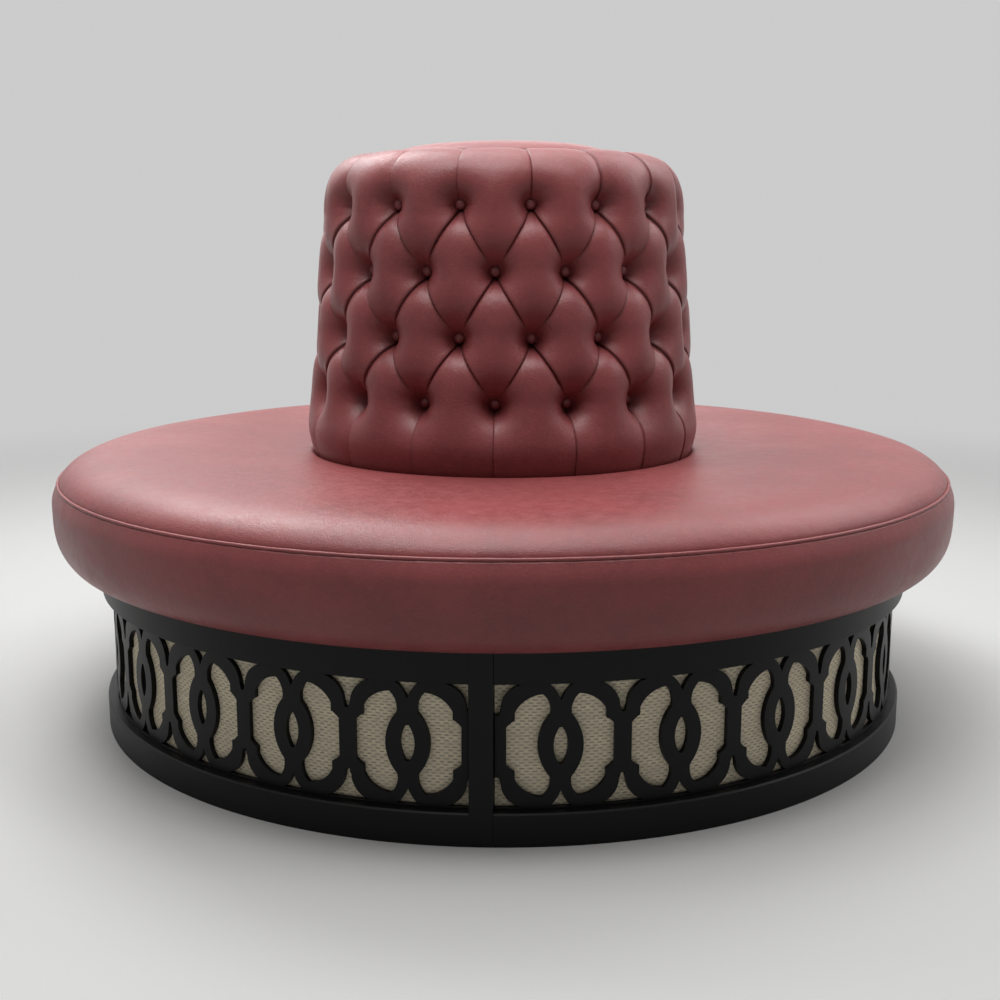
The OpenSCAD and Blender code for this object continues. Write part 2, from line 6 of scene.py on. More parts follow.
import bpy
import numpy as np
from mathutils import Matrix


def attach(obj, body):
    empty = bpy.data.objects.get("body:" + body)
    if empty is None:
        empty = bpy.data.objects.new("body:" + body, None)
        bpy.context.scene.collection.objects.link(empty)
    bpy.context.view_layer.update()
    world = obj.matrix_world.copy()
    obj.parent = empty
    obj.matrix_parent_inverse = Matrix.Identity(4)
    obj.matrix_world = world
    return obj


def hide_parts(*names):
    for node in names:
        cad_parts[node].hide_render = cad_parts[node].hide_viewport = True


bl_info = {
    "name": "Round bench",
    "version": (1, 0, 0),
    "blender": (4, 5, 0),
    "location": "View3D > Sidebar > Bench",
    "description": "Leather, lacquer, woven panels and a plain studio for the round bench",
    "category": "Add Mesh",
}

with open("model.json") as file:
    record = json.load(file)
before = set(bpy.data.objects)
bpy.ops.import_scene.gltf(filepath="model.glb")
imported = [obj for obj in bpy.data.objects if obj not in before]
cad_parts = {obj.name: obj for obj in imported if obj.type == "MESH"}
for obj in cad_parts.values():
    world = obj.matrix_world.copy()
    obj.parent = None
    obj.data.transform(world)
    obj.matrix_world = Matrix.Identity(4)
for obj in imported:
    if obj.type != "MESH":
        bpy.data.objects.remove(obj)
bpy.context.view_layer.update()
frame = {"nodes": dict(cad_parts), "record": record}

MM = 0.001
SECTORS = 4
ROWS = 4
COLUMNS = 720  # columns of the mesh round the seat
STITCHES = 180  # small puckers round the piped seam
SHOULDER_POWER = 2.4  # roundness of the shoulder of the back, 2 being a quarter of an ellipse
SEAM_BITE = 0.6  # how far the leather at the seam runs under the piping, mm
UNEVEN = 1.1  # how much deeper or shallower than its row a button may be drawn, mm


# Materials


class Wire:
    """An output socket of a material. Arithmetic on it adds Math nodes."""

    def __init__(self, socket):
        self.socket = socket

    @staticmethod
    def node(tree, kind, settings=None, sockets=None, output=0):
        """Adds any node: its settings first, then the values or wires of its sockets."""
        made = tree.nodes.new(kind)
        for name, value in (settings or {}).items():
            if name == "stops":
                ramp = made.color_ramp.elements
                while len(ramp) < len(value):
                    ramp.new(1.0)
                for stop, (place, colour) in zip(ramp, value):
                    stop.position = place
                    stop.color = colour
            else:
                setattr(made, name, value)
        for name, value in (sockets or {}).items():
            if isinstance(value, Wire):
                tree.links.new(value.socket, made.inputs[name])
            else:
                made.inputs[name].default_value = value
        return Wire(made.outputs[output]) if made.outputs else None

    def math(self, operation, *others):
        sockets = dict(enumerate((self, *others)))
        return Wire.node(self.socket.id_data, "ShaderNodeMath", {"operation": operation}, sockets)

    def __add__(self, other):
        return self.math("ADD", other)

    def __mul__(self, other):
        return self.math("MULTIPLY", other)

    def __sub__(self, other):
        return self.math("SUBTRACT", other)

    def __rsub__(self, other):
        return self * -1 + other

    def __truediv__(self, other):
        return self.math("DIVIDE", other)

    __radd__ = __add__
    __rmul__ = __mul__

    def clamp(self):
        return self.math("MINIMUM", 1.0).math("MAXIMUM", 0.0)

    def ease(self, low, high):
        """0 below low, 1 above high, smooth between."""
        return Wire.node(
            self.socket.id_data,
            "ShaderNodeMapRange",
            {"interpolation_type": "SMOOTHSTEP"},
            {"Value": self, "From Min": low, "From Max": high},
        )

    def mix(self, first, second, mode="MIX"):
        """Mixes two colours, with this wire as the factor."""
        settings = {"data_type": "RGBA", "blend_type": mode}
        return Wire.node(
            self.socket.id_data, "ShaderNodeMix", settings, {0: self, 6: first, 7: second}, 2
        )


def emptied(owner):
    """The node tree of a material or world, without the nodes it starts with."""
    owner.use_nodes = True
    owner.node_tree.nodes.clear()
    return owner.node_tree


def noise(tree, place, scale, detail=2.0, rough=0.5):
    """Soft cloudy noise, from 0 to 1."""
    sockets = {"Vector": place, "Scale": scale, "Detail": detail, "Roughness": rough}
    return Wire.node(tree, "ShaderNodeTexNoise", None, sockets)


def stretched(tree, place, scale):
    """Coordinates scaled apart in x, y and z."""
    sockets = {0: place, 1: scale}
    return Wire.node(tree, "ShaderNodeVectorMath", {"operation": "MULTIPLY"}, sockets)


def bump(tree, strength, distance, height, **below):
    """A relief for the normal. below may give the Normal that it lies on."""
    sockets = {"Strength": strength, "Distance": distance, "Height": height, **below}
    return Wire.node(tree, "ShaderNodeBump", None, sockets)


def finish_of(name, recipe):
    """A material whose recipe gives the Principled sockets from the object's coordinates."""
    material = bpy.data.materials.new(name)
    tree = emptied(material)
    place = Wire.node(tree, "ShaderNodeTexCoord", output="Object")
    shader = Wire.node(tree, "ShaderNodeBsdfPrincipled", None, recipe(tree, place))
    Wire.node(tree, "ShaderNodeOutputMaterial", None, {"Surface": shader})
    return material


def tone(colour, share=1.0):
    """A colour made lighter or darker, with full alpha."""
    return (*(channel * share for channel in colour[:3]), 1.0)


def leather_recipe(look, shade_creases):
    """Satin leather: mottled dye, pebble grain, fine streaks, and painted shade in the creases and
    button hollows.
    """

    def recipe(tree, place):
        base = look.leather
        patches = noise(tree, place, 5.0, 3.0).ease(0.35, 0.65)
        mottle = noise(tree, place, 42.0, 5.0, 0.6).ease(0.3, 0.75)
        streaks = noise(tree, stretched(tree, place, (150.0, 150.0, 620.0)), 1.0, 4.0, 0.6)
        pebbles = Wire.node(
            tree,
            "ShaderNodeTexVoronoi",
            {"feature": "SMOOTH_F1"},
            {"Vector": place, "Scale": look.grain, "Smoothness": 0.6},
            "Distance",
        )
        fine = noise(tree, place, look.grain * 1.7, 3.0, 0.6)
        colour = patches.mix(tone(base, 0.86), tone(base, 1.08))
        colour = (mottle * 0.55).mix(colour, tone(base, 1.18))
        colour = (streaks.ease(0.45, 0.8) * 0.22).mix(colour, tone(look.worn))
        # Painted shade: where asked, the leather darkens along the creases and in the hollows
        # round the buttons, following the mesh's shade mask.
        if shade_creases:
            fold = Wire.node(
                tree, "ShaderNodeAttribute", {"attribute_name": "fold"}, output="Fac"
            )
            colour = (fold * 0.75).mix(colour, tone(base, 0.25))
        rough = look.leather_rough + 0.1 * mottle + 0.06 * (streaks - 0.5) - 0.03 * patches
        grain = bump(tree, 0.7, 0.0007, 0.55 * pebbles + 0.35 * fine + 0.4 * streaks)
        soft = bump(tree, 0.4, 0.0012, noise(tree, place, 70.0, 3.0), Normal=grain)
        return {
            "Base Color": colour,
            "Roughness": rough.clamp(),
            "Normal": soft,
            "Specular IOR Level": 0.33,
            "Coat Weight": 0.07,
            "Coat Roughness": 0.4,
        }

    return recipe


def lacquer_recipe(look):
    """Satin black lacquer on wood, with softly rounded arrises and a trace of orange peel."""

    def recipe(tree, place):
        haze = noise(tree, place, 9.0, 4.0)
        dust = noise(tree, place, 320.0, 2.0).ease(0.62, 0.8)
        wear = (0.35 * haze + 0.25 * dust).clamp()
        colour = wear.mix(tone(look.lacquer), tone(look.lacquer, 1.9))
        arris = Wire.node(tree, "ShaderNodeBevel", {"samples": 4}, {"Radius": look.arris})
        skin = bump(tree, 0.12, 0.0006, noise(tree, place, 240.0, 3.0), Normal=arris)
        return {
            "Base Color": colour,
            "Roughness": look.lacquer_rough + 0.1 * haze,
            "Normal": skin,
            "Specular IOR Level": 0.16,
        }

    return recipe


def weave_recipe(look):
    """Coarse woven fabric: staggered dashes in rows, uneven yarn and flecks."""

    def recipe(tree, place):
        x, y, z = (
            Wire.node(tree, "ShaderNodeSeparateXYZ", None, {0: place}, axis) for axis in range(3)
        )
        wander = noise(tree, place, 55.0, 2.0) - 0.5
        along = x.math("ARCTAN2", y * -1) * (look.weave_radius / look.dash_pitch) + wander * 0.5
        up = z / look.row_pitch + wander * 0.35
        row = up.math("FLOOR")
        shifted = along + (row * 0.5).math("FRACT")
        across = (up.math("FRACT") - 0.5).math("ABSOLUTE") * 2
        beside = (shifted.math("FRACT") - 0.5).math("ABSOLUTE") * 2
        inside = 1 - across.ease(0.2, 0.62)
        cell = Wire.node(
            tree, "ShaderNodeCombineXYZ", None, {0: shifted.math("FLOOR"), 1: row}
        )
        yarn = Wire.node(
            tree, "ShaderNodeTexWhiteNoise", {"noise_dimensions": "2D"}, {"Vector": cell}
        )
        gap = inside * (1 - beside.ease(0.38, 0.7)) * (0.5 + 0.5 * yarn)
        slub = noise(tree, stretched(tree, place, (26.0, 26.0, 300.0)), 1.0, 3.0).ease(0.4, 0.75)
        fleck = noise(tree, stretched(tree, place, (170.0, 170.0, 420.0)), 1.0, 2.0)
        colour = (0.45 * yarn + 0.55 * slub).mix(tone(look.weave, 0.88), tone(look.weave, 1.14))
        colour = (gap * 0.65).mix(colour, tone(look.weave_gap))
        colour = (fleck.ease(0.6, 0.72) * 0.4).mix(colour, tone(look.weave_gap, 1.4))
        relief = bump(tree, 0.8, 0.0006, across * 0.25 + (1 - gap) + 0.15 * slub)
        return {"Base Color": colour, "Roughness": 0.86, "Normal": relief, "Sheen Weight": 0.1}

    return recipe


def plywood_recipe(tree, place):
    """Birch plywood with fine, slightly wavy figure."""
    figure = noise(tree, stretched(tree, place, (6.0, 90.0, 90.0)), 1.0, 5.0, 0.6)
    flecks = noise(tree, stretched(tree, place, (60.0, 700.0, 700.0)), 1.0, 2.0).ease(0.6, 0.75)
    colour = figure.ease(0.3, 0.7).mix((0.60, 0.42, 0.23, 1.0), (0.47, 0.30, 0.15, 1.0))
    colour = (flecks * 0.35).mix(colour, (0.33, 0.20, 0.10, 1.0))
    relief = bump(tree, 0.25, 0.0005, figure)
    return {"Base Color": colour, "Roughness": 0.62 + 0.1 * figure, "Normal": relief}


def foam_recipe(tree, place):
    """Open cell upholstery foam."""
    cells = Wire.node(
        tree, "ShaderNodeTexVoronoi", None, {"Vector": place, "Scale": 900.0}, "Distance"
    )
    stain = noise(tree, place, 7.0, 3.0)
    relief = bump(tree, 0.6, 0.0006, cells)
    colour = stain.mix((0.82, 0.72, 0.42, 1.0), (0.70, 0.58, 0.30, 1.0))
    return {"Base Color": colour, "Roughness": 0.95, "Normal": relief}


def steel_recipe(tree, place):
    """Zinc plated steel with a faint spangle."""
    spangle = Wire.node(
        tree, "ShaderNodeTexVoronoi", None, {"Vector": place, "Scale": 350.0}, "Distance"
    )
    brushed = noise(tree, place, 180.0, 4.0)
    colour = spangle.clamp().mix((0.50, 0.50, 0.50, 1.0), (0.66, 0.66, 0.64, 1.0))
    return {"Base Color": colour, "Roughness": 0.28 + 0.2 * brushed, "Metallic": 1.0}


# Meshes


def placed(name, data):
    """A new object of a mesh, lamp or camera, in the scene."""
    made = bpy.data.objects.new(name, data)
    bpy.context.scene.collection.objects.link(made)
    return made


def turned(name, points, fold=None):
    """Mesh from rings of points, rows by columns, with the last row joined to the first.

    Each row runs counterclockwise seen from above. The optional shade mask is painted shade for
    the creases and hollows of the leather.
    """
    rows, columns = points.shape[:2]
    low = np.arange(rows)[:, None] * columns
    high = (np.arange(rows)[:, None] + 1) % rows * columns
    here = np.arange(columns)
    there = (here + 1) % columns
    quads = np.stack([low + here, low + there, high + there, high + here], axis=-1).reshape(-1, 4)
    mesh = bpy.data.meshes.new(name)
    mesh.vertices.add(rows * columns)
    mesh.vertices.foreach_set("co", (points.reshape(-1, 3) * MM).ravel())
    mesh.loops.add(quads.size)
    mesh.loops.foreach_set("vertex_index", quads.ravel().astype(np.int32))
    mesh.polygons.add(len(quads))
    mesh.polygons.foreach_set("loop_start", np.arange(0, quads.size, 4, dtype=np.int32))
    mesh.update(calc_edges=True)
    mesh.polygons.foreach_set("use_smooth", np.ones(len(quads), dtype=bool))
    # Stores the painted shade mask for the leather material to read.
    if fold is not None:
        mesh.attributes.new("fold", "FLOAT", "POINT").data.foreach_set(
            "value", fold.ravel().astype(np.float32)
        )
    mesh.validate()
    return placed(name, mesh)


def around(profile, angles, shift=None):
    """Points of a profile, as (radius, height) rows, swept round the axis.

    shift moves each point outward and up, as an array of rows by columns by 2.
    """
    radius = np.repeat(profile[:, :1], len(angles), axis=1)
    height = np.repeat(profile[:, 1:], len(angles), axis=1)
    if shift is not None:
        radius = radius + shift[..., 0]
        height = height + shift[..., 1]
    return np.stack([radius * np.sin(angles), -radius * np.cos(angles), height], axis=-1)


def normals_of(profile):
    """Unit outward normals of a profile that runs upward on its outside."""
    tangent = np.gradient(profile, axis=0)
    tangent /= np.linalg.norm(tangent, axis=1, keepdims=True)
    return np.stack([tangent[:, 1], -tangent[:, 0]], axis=1)


def dress(piece, material, slot, *nodes):
    """Gives a new piece its material and its body, and hides the CAD nodes it stands for. The slot
    is not used.
    """
    piece.data.materials.append(material)
    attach(piece, "root")
    if nodes:
        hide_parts(*nodes)


def ease(value, low, high):
    """0 below low, 1 above high, smooth between."""
    t = np.clip((value - low) / (high - low), 0.0, 1.0)
    return t * t * (3.0 - 2.0 * t)


# Settings


class BENCH_PG_back(bpy.types.PropertyGroup):
    """Sizes of the tufted back, in millimetres."""

    buttons: bpy.props.IntProperty(
        name="Buttons in a row", description="Buttons round the back in each row",
        default=16, min=4,
    )
    row_pitch: bpy.props.FloatProperty(
        name="Row pitch", description="Height between two rows of buttons, mm", default=106.4
    )
    low_row: bpy.props.FloatProperty(
        name="Lowest row", description="Height of the lowest row of buttons, mm", default=576.8
    )
    foot: bpy.props.FloatProperty(
        name="Foot", description="Height of the foot of the cover between seat and back, mm",
        default=450.0,
    )
    foot_radius: bpy.props.FloatProperty(
        name="Foot radius", description="Radius of the puffed wall near the seat, mm",
        default=358.0,
    )
    top_radius: bpy.props.FloatProperty(
        name="Top radius", description="Radius of the wall where its shoulder starts, mm",
        default=327.5,
    )
    belly: bpy.props.FloatProperty(
        name="Belly", description="Height up to which the wall is upright, mm", default=505.0
    )
    shoulder: bpy.props.FloatProperty(
        name="Shoulder", description="Height where the shoulder starts, mm", default=880.0
    )
    crest: bpy.props.FloatProperty(
        name="Crest", description="Height of the crest of the shoulder, mm", default=986.0
    )
    crest_radius: bpy.props.FloatProperty(
        name="Crest radius", description="Radius of the crest of the shoulder, mm", default=245.0
    )
    dimple: bpy.props.FloatProperty(
        name="Dimple depth", description="How deep the lowest buttons draw the leather in, mm",
        default=51.5,
    )
    dimple_fade: bpy.props.FloatProperty(
        name="Dimple fade", description="How much shallower each higher row is, mm", default=3.3
    )
    pleat: bpy.props.FloatProperty(
        name="Pleat depth", description="Depth of the folds of the pleats, mm", default=8.0
    )
    button: bpy.props.FloatProperty(
        name="Button", description="Diameter of a button, mm", default=18.5
    )


class BENCH_PG_seat(bpy.types.PropertyGroup):
    """Sizes of the ring seat, in millimetres."""

    inner: bpy.props.FloatProperty(
        name="Inner radius", description="Radius of the seat at the back, mm", default=343.5
    )
    crest_radius: bpy.props.FloatProperty(
        name="Crest radius", description="Radius of the crest of the crown, mm", default=560.0
    )
    crest: bpy.props.FloatProperty(
        name="Crest", description="Height of the crest of the crown, mm", default=474.0
    )
    fall: bpy.props.FloatProperty(
        name="Inner fall", description="Fall of the crown from its crest to the back, mm",
        default=12.0,
    )
    seam: bpy.props.FloatProperty(
        name="Seam height", description="Height of the piped edge, mm", default=430.6
    )
    seam_radius: bpy.props.FloatProperty(
        name="Seam radius", description="Radius of the piped edge, mm", default=789.5
    )
    widest: bpy.props.FloatProperty(
        name="Widest height", description="Height of the widest place of the seat, mm",
        default=397.0,
    )
    radius: bpy.props.FloatProperty(
        name="Radius", description="Largest radius of the seat, mm", default=803.0
    )
    piping: bpy.props.FloatProperty(
        name="Piping", description="Diameter of the piping, mm", default=5.6
    )


class BENCH_PG_look(bpy.types.PropertyGroup):
    """Colours and finishes."""

    leather: bpy.props.FloatVectorProperty(
        name="Leather", description="Colour of the leather", subtype="COLOR", size=4,
        default=(0.200, 0.0425, 0.0437, 1.0),
    )
    worn: bpy.props.FloatVectorProperty(
        name="Worn leather", description="Colour of fine wear in the leather", subtype="COLOR",
        size=4, default=(0.36, 0.13, 0.13, 1.0),
    )
    leather_rough: bpy.props.FloatProperty(
        name="Leather roughness", description="Roughness of the leather", default=0.36
    )
    grain: bpy.props.FloatProperty(
        name="Grain", description="Pebbles of the grain in a metre", default=620.0
    )
    lacquer: bpy.props.FloatVectorProperty(
        name="Lacquer", description="Colour of the lacquer", subtype="COLOR", size=4,
        default=(0.0035, 0.0035, 0.0037, 1.0),
    )
    lacquer_rough: bpy.props.FloatProperty(
        name="Lacquer roughness", description="Roughness of the lacquer", default=0.36
    )
    arris: bpy.props.FloatProperty(
        name="Arris", description="Radius of the rounded arrises", default=0.0014,
        subtype="DISTANCE",
    )
    weave: bpy.props.FloatVectorProperty(
        name="Fabric", description="Colour of the woven fabric", subtype="COLOR", size=4,
        default=(0.82, 0.73, 0.54, 1.0),
    )
    weave_gap: bpy.props.FloatVectorProperty(
        name="Fabric gaps", description="Colour between the yarns", subtype="COLOR", size=4,
        default=(0.115, 0.08, 0.05, 1.0),
    )
    weave_radius: bpy.props.FloatProperty(
        name="Fabric radius", description="Radius of the face of the fabric", default=0.703,
        subtype="DISTANCE",
    )
    dash_pitch: bpy.props.FloatProperty(
        name="Dash pitch", description="Length of one dash of the weave", default=0.0125,
        subtype="DISTANCE",
    )
    row_pitch: bpy.props.FloatProperty(
        name="Yarn pitch", description="Height of one row of the weave", default=0.0044,
        subtype="DISTANCE",
    )


class BENCH_PG_stage(bpy.types.PropertyGroup):
    """Floor, lamps and camera."""

    floor: bpy.props.FloatVectorProperty(
        name="Floor", description="Colour of the floor", subtype="COLOR", size=4,
        default=(0.46, 0.46, 0.455, 1.0),
    )
    backdrop: bpy.props.FloatProperty(
        name="Backdrop", description="Brightness of the pale backdrop", default=0.60
    )
    ambient: bpy.props.FloatProperty(
        name="Ambient", description="Strength of the even light", default=0.04
    )
    camera_place: bpy.props.FloatVectorProperty(
        name="Camera place", description="Where the camera stands", subtype="TRANSLATION",
        default=(0.1075, -2.5524, 0.8454),
    )
    camera_pitch: bpy.props.FloatProperty(
        name="Camera pitch", description="Tilt of the camera from straight down",
        subtype="ANGLE", default=radians(79.236),
    )
    camera_turn: bpy.props.FloatProperty(
        name="Camera turn", description="Turn of the camera about the upright axis",
        subtype="ANGLE", default=radians(2.53),
    )
    lens: bpy.props.FloatProperty(name="Lens", description="Focal length, mm", default=50.0)


# Tufted back


def wall_radius(back, z):
    """Radius of the puffed wall and shoulder of the back at a height."""
    lean = (back.foot_radius - back.top_radius) / (back.shoulder - back.belly)
    wall = back.foot_radius - lean * np.maximum(0.0, z - back.belly)
    rise = np.clip((z - back.shoulder) / (back.crest - back.shoulder), 0.0, 1.0)
    reach = np.sqrt(1.0 - rise**SHOULDER_POWER)
    arc = back.crest_radius + (back.top_radius - back.crest_radius) * reach
    return np.where(z > back.shoulder, arc, wall)


def wall_profile(back):
    """Outside of the back from its foot to the edge of the recess, with v counted in rows."""
    foot_v = (back.foot - back.low_row) / back.row_pitch
    top_row = back.low_row + (ROWS - 1) * back.row_pitch
    spread = (1.0 - np.cos(np.linspace(0.0, pi, 29))) / 2.0
    foot = foot_v * (1.0 - np.sin(np.linspace(0.0, pi / 2, 21)[:-1]))
    v = np.concatenate([foot] + [k + spread[:-1] for k in range(ROWS - 1)])
    z = back.low_row + v * back.row_pitch
    tuck, tuck_height = 16.0, 80.0
    tucked = tuck * np.maximum(0.0, 1.0 - (z - back.foot) / tuck_height) ** 2
    wall = np.stack([wall_radius(back, z) - tucked, z], axis=1)

    start = np.arcsin((top_row - back.shoulder) / (back.crest - back.shoulder))
    turn = start + (pi / 2 - start) * np.linspace(0.0, 1.0, 44) ** 1.12
    reach = np.sqrt(np.maximum(0.0, 1.0 - np.sin(turn) ** SHOULDER_POWER))
    arc = np.stack(
        [
            back.crest_radius + (back.top_radius - back.crest_radius) * reach,
            back.shoulder + (back.crest - back.shoulder) * np.sin(turn),
        ],
        axis=1,
    )
    flat = [(232.0, 985.8), (218.0, 985.3), (207.0, 984.6), (200.6, 983.0)]
    lip = [(197.4, 979.6), (196.2, 975.0), (195.6, 968.0), (195.5, 961.5)]
    top = np.concatenate([arc, flat, lip])
    steps = np.linalg.norm(np.diff(top, axis=0), axis=1)
    top_v = ROWS - 1 + np.concatenate([[0.0], np.cumsum(steps)]) / back.row_pitch
    return np.concatenate([wall, top]), np.concatenate([v, top_v])


def column_places(back, v, half):
    """Columns of the mesh in button pitches, gathered along the pleats of each row of points."""
    wave = np.abs(np.mod(np.clip(v, 0.0, ROWS - 1) + 1.0, 2.0) - 1.0)
    narrowest, gathering = 0.03, 2.4
    width = np.clip(wave, narrowest, 1.0 - narrowest)[:, None]
    t = np.linspace(-1.0, 1.0, half + 1)[:-1]
    spread = np.sign(t) * (1.0 - (1.0 - np.abs(t)) ** gathering) / 2.0
    period = np.concatenate([spread * width, 0.5 + spread * (1.0 - width)], axis=1)
    return np.concatenate([period + k for k in range(back.buttons)], axis=1)


def pull(back, row, place):
    """How much more or less a button is drawn in than the others of its row, from -1 to 1."""
    k = np.mod(np.round(place - 0.5 * (row % 2)), back.buttons)
    return 0.6 * np.sin(2.3 * k + 1.7 * row) + 0.4 * np.sin(5.1 * k + 0.4 * row)


def dimples(back, u, v, pitch):
    """Depth of the hollows round the buttons."""
    flat, spread = 6.5, 22.0
    crease, crease_at, crease_width = 0.4, 19.0, 10.0
    depth = 0.0
    for row in range(ROWS):
        across = (np.mod(u - 0.5 * (row % 2) + 0.5, 1.0) - 0.5) * pitch
        up = (v - row) * back.row_pitch
        away = np.hypot(across, up)
        deepest = back.dimple - back.dimple_fade * row + UNEVEN * pull(back, row, u)
        crimp = np.sin(7.0 * np.arctan2(up, across) + 3.0 * pull(back, row, u))
        depth = depth + deepest * np.exp(-((np.maximum(0.0, away - flat) / spread) ** 1.1))
        depth = depth + crease * crimp * np.exp(-(((away - crease_at) / crease_width) ** 2))
    return depth


def tufting(back, u, v, radius):
    """Depth of the leather and its slide round and up the wall, in mm, and a mask of painted shade
    for its creases and button hollows.

    Along a pleat the leather below is tucked under the rolled lip of the leather above. The
    upright pleats at foot and shoulder all turn the same way.
    """
    fold_width, crack, lip_radius, swell_width = 10.0, 0.9, 3.4, 19.0
    overhang, sideways, downward = 2.3, 0.84, 0.54
    pitch = radius * tau / back.buttons
    top = ROWS - 1.0
    band = np.clip(np.floor(v), 0, ROWS - 2)
    fall = v - band
    foot, head = v < 0.0, v > top
    upper = np.where(foot, 0.0, np.where(head, 0.5 * ((ROWS - 1) % 2), 0.5 * ((band + 1) % 2)))
    beside = np.mod(u - upper + 0.5, 1.0) - 0.5
    upright = foot | head
    tilt = 1.0 - np.cos(np.arctan2(pitch / 2, back.row_pitch))
    tilt = tilt * ease(v, 0.0, 0.35) * ease(top - v, 0.0, 0.35)
    under = np.where(upright, -beside, (1.0 - fall) / 2 - np.abs(beside)) * pitch * (1.0 - tilt)
    crimp = np.sin(3.7 * np.round(u - upper) + 2.1 * band + 1.3 * np.sign(beside))

    firm = ease(fall, 0.10, 0.42) * (0.62 + 0.38 * ease(fall, 0.4, 0.85)) * (1.0 + 0.14 * crimp)
    low = ease(-v, 0.0, 0.17) * (0.28 + 0.5 * np.exp(v / 0.30))
    high = ease(v - top, 0.0, 0.17) * (0.34 + 0.42 * np.exp(-(v - top) / 0.45))
    firm = np.where(foot, low, np.where(head, high, firm))
    away = np.abs(under)
    tucked = back.pleat * (np.exp(-((away / fold_width) ** 1.15)) + 0.3 * np.exp(-away / crack))
    roll = np.clip(1.0 - away / lip_radius, 0.0, 1.0)
    lip = lip_radius * (1.0 - np.sqrt(1.0 - roll**2))
    depth = firm * np.where(under >= -1e-6, tucked, lip)

    soft = np.where(foot, 1.0 - 0.55 * ease(-v, 0.0, 0.9), 1.0 - 0.4 * ease(v - top, 0.0, 0.8))
    depth = depth + 2.4 * soft * np.exp(-((away / swell_width) ** 1.4))
    turn = u * tau / back.buttons
    slack = np.sin(4.0 * turn + 3.1 * v) + 0.7 * np.sin(9.0 * turn - 2.3 * v + 1.0)
    hollow = dimples(back, u, v, pitch)
    depth = depth + 0.3 * slack + hollow

    over = overhang * firm * np.exp(-away / 2.4) * (under < -1e-6)
    slide = -over * np.where(upright, 1.0, sideways * np.sign(beside))
    drop = -over * np.where(upright, 0.0, downward)
    # Painted shade mask, from 0 to 1: dark along the pleat creases and in the hollows round the
    # buttons.
    fold = np.exp(-away / 1.6) * firm + 0.5 * ease(hollow / back.dimple, 0.4, 1.0)
    fold = np.clip(fold, 0.0, 1.0)
    return depth, slide, drop, fold


class BENCH_OT_back(bpy.types.Operator):
    """Deep buttoned leather cover of the back, over its wadding"""

    bl_idname = "bench.back"
    bl_label = "Back cover"

    def execute(self, context):
        back, look = context.scene.bench_back, context.scene.bench_look
        profile, v = wall_profile(back)
        u = column_places(back, v, 16)
        radius = np.repeat(profile[:, :1], u.shape[1], axis=1)
        depth, slide, drop, fold = tufting(back, u, v[:, None] + 0.0 * u, radius)
        calm_from, calm_to = 1.45, 1.75
        calm = 1.0 - ease(v - (ROWS - 1), calm_from, calm_to)[:, None]
        out = normals_of(profile)
        reach = radius - depth * calm * out[:, :1] - drop * calm * out[:, 1:]
        height = profile[:, 1:] - depth * calm * out[:, 1:] + drop * calm * out[:, :1]
        angles = u * tau / back.buttons + slide * calm / radius
        rows = np.stack([reach * np.sin(angles), -reach * np.cos(angles), height], axis=-1)
        core = np.array([(195.5, 960.9), (244.0, 960.9), (263.4, 942.0), (300.8, 450.0)])
        legs = (np.linspace(a, b, 5)[:-1] for a, b in zip(core[:-1], core[1:]))
        inner = np.concatenate([*legs, core[-1:]])
        inside = around(inner, angles[0])
        points = np.concatenate([rows, inside])
        # Painted shade mask of the creases and hollows, with none on the inside of the cover.
        crease_shades = np.concatenate([fold * calm, np.zeros(inside.shape[:2])])
        piece = turned("back_tufted_cover", points, fold=crease_shades)
        leather = finish_of("leather_back", leather_recipe(look, shade_creases=True))
        dress(piece, leather, "leather", "back_cover")
        return {"FINISHED"}


class BENCH_OT_buttons(bpy.types.Operator):
    """Four rows of leather covered buttons"""

    bl_idname = "bench.buttons"
    bl_label = "Buttons"

    def execute(self, context):
        back, look = context.scene.bench_back, context.scene.bench_look
        leather = finish_of("leather_button", leather_recipe(look, shade_creases=False))
        half, clear, skirt, crown_height = back.button / 2, 1.2, 1.6, 6.2
        turn = np.linspace(0.0, pi / 2, 9)
        dome = np.stack([half * np.cos(turn), skirt + crown_height * np.sin(turn)], axis=1)
        pole = 0.05
        heel = np.array([(pole, -3.0), (half * 0.55, -2.6), (half * 0.93, -0.8), (half, 0.6)])
        profile = np.concatenate([heel, dome])
        profile[-1, 0] = pole
        ring = np.linspace(0.0, tau, 28, endpoint=False)
        lean = (back.foot_radius - back.top_radius) / (back.shoulder - back.belly)
        for row in range(ROWS):
            z = back.low_row + row * back.row_pitch
            drawn = back.dimple - back.dimple_fade * row
            blocks = []
            for k in range(back.buttons):
                place = k + 0.5 * (row % 2)
                extra = UNEVEN * pull(back, row, place)
                sunk = float(wall_radius(back, z) - drawn - extra) + clear
                a = place * tau / back.buttons
                outward = np.array([sin(a), -cos(a), lean])
                outward /= np.linalg.norm(outward)
                side = np.array([cos(a), sin(a), 0.0])
                up = np.cross(side, outward) * -1.0
                centre = np.array([sunk * sin(a), -sunk * cos(a), z])
                wobble = 1.0 + 0.012 * np.sin(3.0 * ring + 1.7 * k)
                reach = profile[:, :1] * wobble
                blocks.append(
                    centre
                    + reach[..., None] * np.cos(ring)[None, :, None] * side
                    + reach[..., None] * np.sin(ring)[None, :, None] * up
                    + profile[:, 1][:, None, None] * outward
                )
            piece = studs(f"buttons_row_{row + 1}", blocks)
            dress(piece, leather, "leather", f"button_row_{row + 1}")
        return {"FINISHED"}


